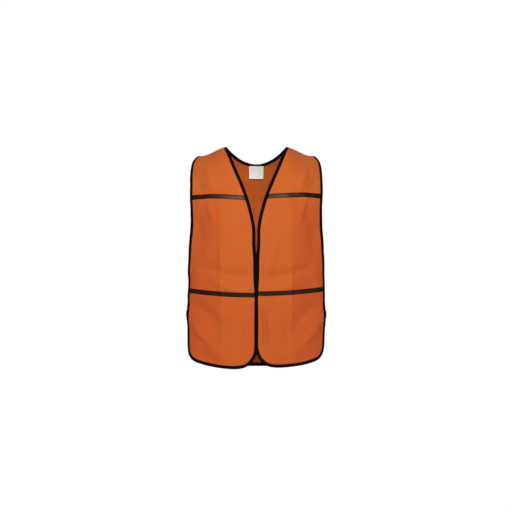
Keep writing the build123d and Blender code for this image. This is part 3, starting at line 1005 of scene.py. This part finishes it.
def label_piece():
    """A plain satin label hanging from the back neck binding."""
    heights = np.linspace(LABEL_TOP, LABEL_TOP - LABEL_DROP, 26)
    x, z = np.meshgrid(np.linspace(-LABEL_HALF, LABEL_HALF, 30), heights)
    s = way_down(x, z)
    hang = (LABEL_TOP - z) / LABEL_DROP
    curl = -0.0032 * hang**2 - 0.0008 * hang * np.cos(x * 95)
    far = back_sheet.place(x, s, UNDER + curl)
    near = back_sheet.place(x, s, UNDER + curl - LABEL_THICK)
    parts = [two_faced(far, near, np.stack([x, z], axis=-1), LABEL, flip=True)]
    xs = np.linspace(-LABEL_HALF + 0.001, LABEL_HALF - 0.001, 30)
    row = Edge(back_sheet, xs, way_down(xs, np.full(30, LABEL_TOP - 0.0015)), 0.002)
    parts.append(stitch_row(row, 0.0, UNDER - LABEL_THICK, BLACK_THREAD, face=-1))
    piece = add_piece("blank_label", parts)
    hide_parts("care_label")
    return piece


# ---- Build the garment ---------------------------------------------------------------------

FRONT_LINE = NECK_EDGE + CENTRE_EDGE + HEM_CORNER + HEM_EDGE + SIDE_EDGE
BACK_LINE = both_sides([(0, HEM_Z * 1000)] + BACK_HEM[::-1] + [HEM_EDGE[-1]] + SIDE_EDGE)
ROWS = 236


def front_pieces(sheet, rise):
    """A front's panel, binding and tapes."""
    x, s = outline(FRONT_LINE, rise)
    edge = Edge(sheet, x, s) if sheet.side > 0 else Edge(sheet, -x[::-1], s[::-1])
    from_neck = edge if sheet.side > 0 else edge.backwards()
    x, s = from_neck.moved(PANEL_INSET)
    line = np.stack([x * sheet.side, s], axis=-1)
    grid = panel_grid(sheet, line, line[[0, -1]], ROWS, 72)
    body = sheet.name
    panel = add_piece(f"{body}_cloth", [panel_part(sheet, grid)])
    binding = add_piece(f"{body}_edge_tape", [binding_part(edge)] + binding_seams(edge))
    ends = ends_between(from_neck)
    chest = tape_piece(f"{body}_chest_strip", sheet, CHEST_LINE, *ends, rise)
    waist = tape_piece(f"{body}_waist_strip", sheet, WAIST_LINE, *ends, rise)
    for piece, node in ((panel, "panel"), (binding, "binding"), (chest, "chest_tape"), (waist, "waist_tape")):
        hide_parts(f"{body}_{node}")
    return panel, binding, chest, waist


def neck_line():
    """The back's neck edge, an oval seen from above, as (x, s)."""
    turn = np.linspace(-np.pi / 2, np.pi / 2, 2000)
    x, y = NECK_HALF * np.sin(turn), NECK_BACK * np.cos(turn)
    return x, SEAM_ARC * np.arcsin(np.clip(y / depth(x, CHEST_Z, BACK_DEPTH), 0, 1)) * 2 / np.pi


def back_pieces():
    """The back's panel, its two bindings and its tapes."""
    x, s = outline(BACK_LINE)
    edge = Edge(back_sheet, x[::-1], s[::-1])
    neck = Edge(back_sheet, *neck_line())
    x, s = edge.backwards().moved(PANEL_INSET)
    line = np.stack([x, s], axis=-1)
    top = np.concatenate([line[:1], np.stack(neck.moved(PANEL_INSET), axis=-1), line[-1:]])
    panel = add_piece("back_cloth", [panel_part(back_sheet, panel_grid(back_sheet, line, top, ROWS, 145))])
    outer = add_piece("back_edge_tape", [binding_part(edge)] + binding_seams(edge))
    collar = add_piece("back_neck_tape", [binding_part(neck)] + binding_seams(neck))
    _, side = ends_between(half_of(edge))
    tapes = []
    for name, half in (("chest", BACK_CHEST_LINE), ("waist", BACK_WAIST_LINE)):
        tapes.append(tape_piece(f"back_{name}_strip", back_sheet, both_sides(half), lambda z: -side(z), side))
    nodes = ("back_panel", "back_outer_binding", "back_neck_binding", "back_chest_tape", "back_waist_tape")
    pieces = panel, outer, collar, *tapes
    for piece, node in zip(pieces, nodes):
        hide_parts(node)
    return pieces


def half_of(edge):
    """The wearer's left half of the back's outer edge, from the middle of the hem up."""
    half = copy.copy(edge)
    keep = slice(int(np.argmin(np.abs(edge.x))), None, -1)
    half.x, half.s, half.dx, half.ds = edge.x[keep], edge.s[keep], edge.dx[keep], edge.ds[keep]
    return half


left_panel, left_binding, left_chest, left_waist = front_pieces(left_sheet, LEFT_RISE)
right_panel, right_binding, right_chest, right_waist = front_pieces(right_sheet, 0.0)
back_panel, back_outer, back_collar, back_chest, back_waist = back_pieces()
loop_strip, hook_strip = loop_piece(), hook_piece()
left_elastic, left_front_tack, left_back_tack = elastic_pieces(1, "left")
right_elastic, right_front_tack, right_back_tack = elastic_pieces(-1, "right")
shoulders = [shoulder_piece(1, "left"), shoulder_piece(-1, "right")]
label = label_piece()

# ---- What the back pieces and the front tacks move with ------------------------------------

back_trim = (back_outer, back_collar, back_chest, back_waist)
for piece in (back_panel, *back_trim, label, *shoulders, left_back_tack, right_back_tack):
    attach(piece, "back")

# Each front's pieces have their transforms baked. SHOULDER_HOLD and FRONT_FREE give a point at the top of
# each front and one on its lower part, but nothing is held or swung by them.
SHOULDER_HOLD, FRONT_FREE = (0, -0.05, -0.03), (0, -0.05, -0.30)
for piece in (left_panel, left_binding, left_chest, left_waist, loop_strip):
    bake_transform(piece)
    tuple(SHOULDER_HOLD)
    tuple(FRONT_FREE)
for piece in (right_panel, right_binding, right_chest, right_waist, hook_strip):
    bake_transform(piece)
    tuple(SHOULDER_HOLD)
    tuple(FRONT_FREE)
for strap, tack, body, side in (
    (left_elastic, left_front_tack, "left_front", 1), (right_elastic, right_front_tack, "right_front", -1),
):
    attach(tack, body)
    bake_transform(strap)

for pieces, slot in (
    ((left_panel, right_panel, back_panel, *shoulders), "orange_mesh"),
    ((left_binding, right_binding, back_outer, back_collar), "black_binding"),
    ((left_chest, left_waist, right_chest, right_waist, back_chest, back_waist), "grey_tape"),
    ((left_elastic, right_elastic), "black_elastic"),
    ((loop_strip, hook_strip), "black_hook_and_loop"),
    ((left_front_tack, left_back_tack, right_front_tack, right_back_tack), "black_thread"),
    ((label,), "white_label"),
):
    for piece in pieces:
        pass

for panel, flat, area, sewn in (
    (left_panel, (0.215, 0.655), 0.104, [left_binding, left_chest, left_waist]),
    (right_panel, (0.215, 0.655), 0.104, [right_binding, right_chest, right_waist]),
    (back_panel, (0.43, 0.655), 0.218, list(back_trim)),
):
    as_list(sewn)

# ---- Floor, light and camera ---------------------------------------------------------------

SENSOR = 36.0               # width of the camera's sensor, in millimetres
CAMERA_AWAY = 8.0           # from the shoulder seams' plane
VIEW_WIDTH = 1.382          # what the picture spans at the chest
VIEW_HEIGHT = -0.297        # height at the middle of the picture
CHEST_Y = -0.11             # where the picture's span is measured
FLOOR_Z = -1.45
WORLD_FILL = 0.20


def stage():
    bpy.ops.mesh.primitive_plane_add(size=9.0, location=(0, 0, FLOOR_Z))
    floor = bpy.context.object
    floor.name = "floor"
    n = Nodes("floor")
    floor.data.materials.append(n.finish(Base_Color=colour(0.86, 0.86, 0.85), Roughness=0.9))
    floor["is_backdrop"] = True


def world():
    """White behind the object, with a softer white as fill light."""
    made = bpy.data.worlds.new("studio")
    bpy.context.scene.world = made
    made.use_nodes = True
    tree = made.node_tree
    seen, fill = tree.nodes["Background"], tree.nodes.new("ShaderNodeBackground")
    seen.inputs["Color"].default_value = fill.inputs["Color"].default_value = (1, 1, 1, 1)
    seen.inputs["Strength"].default_value, fill.inputs["Strength"].default_value = 1.0, WORLD_FILL
    path, mix = tree.nodes.new("ShaderNodeLightPath"), tree.nodes.new("ShaderNodeMixShader")
    tree.links.new(path.outputs["Is Camera Ray"], mix.inputs[0])
    tree.links.new(fill.outputs[0], mix.inputs[1])
    tree.links.new(seen.outputs[0], mix.inputs[2])
    tree.links.new(mix.outputs[0], tree.nodes["World Output"].inputs["Surface"])


def softbox(name, place, aim, size, power):
    light = bpy.data.lights.new(name, "AREA")
    light.shape, light.size, light.energy = "SQUARE", size, power
    lamp = bpy.data.objects.new(name, light)
    lamp.location = place
    lamp.rotation_euler = (Vector(aim) - Vector(place)).to_track_quat("-Z", "Y").to_euler()
    bpy.context.scene.collection.objects.link(lamp)


def camera():
    data = bpy.data.cameras.new("camera")
    data.sensor_width = SENSOR
    data.lens = SENSOR * (CAMERA_AWAY + CHEST_Y) / VIEW_WIDTH
    data.clip_end = 50.0
    made = bpy.data.objects.new("camera", data)
    made.location = (-0.0008, -CAMERA_AWAY, VIEW_HEIGHT)
    made.rotation_euler = (math.pi / 2, 0, 0)
    bpy.context.scene.collection.objects.link(made)
    bpy.context.scene.camera = made


stage()
world()
MIDDLE = (0, 0, -0.3)
softbox("key", (-0.12, -2.95, 1.4), MIDDLE, 0.7, 101)
softbox("fill", (0.7, -2.8, 0.0), MIDDLE, 1.4, 16)
softbox("back_light", (0.4, 2.4, 1.2), MIDDLE, 2.0, 26)
camera()
bpy.context.scene.view_settings.view_transform = "Standard"

size = {"cad": cad_box, "visual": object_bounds()}
{key: [list(map(float, corner)) for corner in box] for key, box in size.items()}
